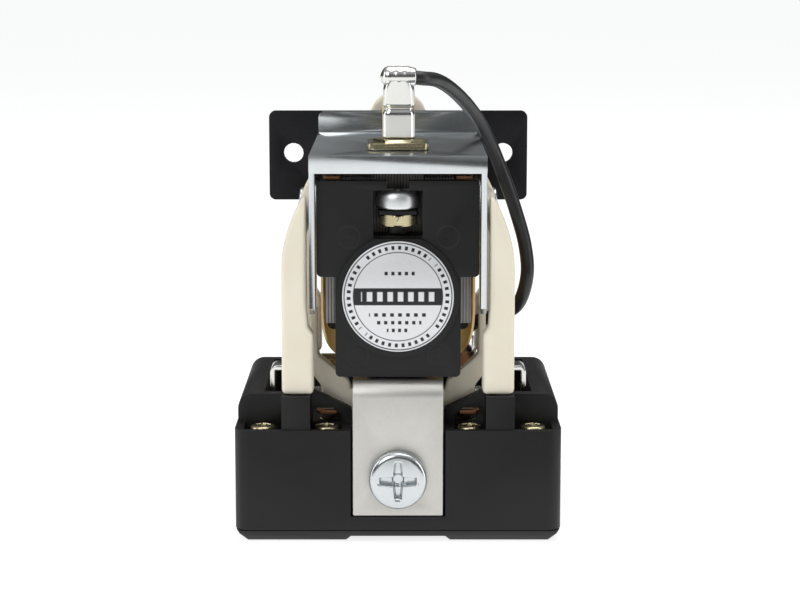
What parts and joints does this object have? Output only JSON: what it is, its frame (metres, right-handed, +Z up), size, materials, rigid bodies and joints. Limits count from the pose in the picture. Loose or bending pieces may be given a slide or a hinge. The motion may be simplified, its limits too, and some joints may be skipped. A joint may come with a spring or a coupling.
{
  "type": "industrial control relay",
  "caption": "Open-frame power relay: screw-terminal base, clapper armature over a horizontal coil, nylon leg frames and a black mounting plate behind.",
  "frame": {"origin": "middle of the whole object's footprint, on the surface that it stands on", "axes": "+Z up, front with the label towards -Y, +X to the right seen from the front"},
  "size_m": [0.0656, 0.0722, 0.0946],
  "materials": {
    "moulding": "fine matte moulding",
    "nylon": "satin ivory nylon",
    "zinc": "pale matte zinc plate",
    "bright": "bright zinc plate",
    "blackened": "black satin finish",
    "iron": "laminated iron, oiled",
    "copper": "bare copper and bronze",
    "brass": "yellow passivated plate",
    "silver": "tin and silver plate",
    "winding": "amber varnished winding",
    "label": "printed foil disc",
    "spring": "bright spring wire",
    "lead": "black insulated lead"
  },
  "bodies": {
    "relay_body": {"base": "moulding", "foot_plate": "moulding", "bobbin": "moulding", "front_cover": "moulding", "leg_frame_right": "nylon", "leg_frame_left": "nylon", "front_strap": "zinc", "rear_yoke": "zinc", "strap_screw_front": "bright", "strap_screw_rear": "bright", "clamp_screw": "bright", "pivot_pin_right": "bright", "pivot_pin_left": "bright", "plate_screw_right": "bright", "plate_screw_left": "bright", "rear_plate": "blackened", "clamp_tab": "blackened", "core": "iron", "shading_ring_right": "copper", "shading_ring_left": "copper", "clamp_nut": "brass", "no_strip_right": "brass", "no_strip_left": "brass", "common_strip_right": "brass", "common_strip_left": "brass", "coil_strip_right": "brass", "coil_strip_left": "brass", "screw_front_outer_right": "brass", "screw_front_outer_left": "brass", "screw_front_inner_right": "brass", "screw_front_inner_left": "brass", "screw_rear_outer_right": "brass", "screw_rear_outer_left": "brass", "screw_rear_inner_right": "brass", "screw_rear_inner_left": "brass", "lead_plug": "silver", "nc_contact_right": "silver", "nc_contact_left": "silver", "no_contact_right": "silver", "no_contact_left": "silver", "nc_strip_right": "silver", "nc_strip_left": "silver", "winding": "winding", "label": "label", "return_spring": "spring", "lead": "lead"},
    "armature": {"cap": "bright", "armature_bar": "iron", "top_terminal": "brass", "top_receptacle": "silver", "return_stud": "zinc", "spring_cup": "nylon", "spring_nut": "zinc"},
    "contact_carrier": {"carrier": "nylon"},
    "blade_right": {"contact_blade_right": "copper", "moving_contact_right": "silver"},
    "blade_left": {"contact_blade_left": "copper", "moving_contact_left": "silver"}
  },
  "joints": [
    {"name": "armature_pivot", "type": "hinge", "parent": "relay_body", "child": "armature", "pos_m": [0, 0.0198, 0.0635], "axis": [1, 0, 0], "range_deg": [0, 1.65], "stiffness_Nm_per_rad": 0.6, "springref_deg": -5.73, "deforming": ["return_spring", "lead"]},
    {"name": "carrier_slide", "type": "slide", "parent": "relay_body", "child": "contact_carrier", "axis": [0, 0, -1], "range_m": [0, 0.00116]},
    {"name": "blade_right_flex", "type": "hinge", "parent": "relay_body", "child": "blade_right", "pos_m": [0.0143, 0.0092, 0.0244], "axis": [1, 0, 0], "range_deg": [0, 2.25]},
    {"name": "blade_left_flex", "type": "hinge", "parent": "relay_body", "child": "blade_left", "pos_m": [-0.0143, 0.0092, 0.0244], "axis": [1, 0, 0], "range_deg": [0, 2.25]}
  ],
  "couplings": [
    {"joint": "carrier_slide", "follows": "armature_pivot", "m_per_rad": 0.04025},
    {"joint": "blade_right_flex", "follows": "armature_pivot", "ratio": 1.3575},
    {"joint": "blade_left_flex", "follows": "armature_pivot", "ratio": 1.3575}
  ]
}
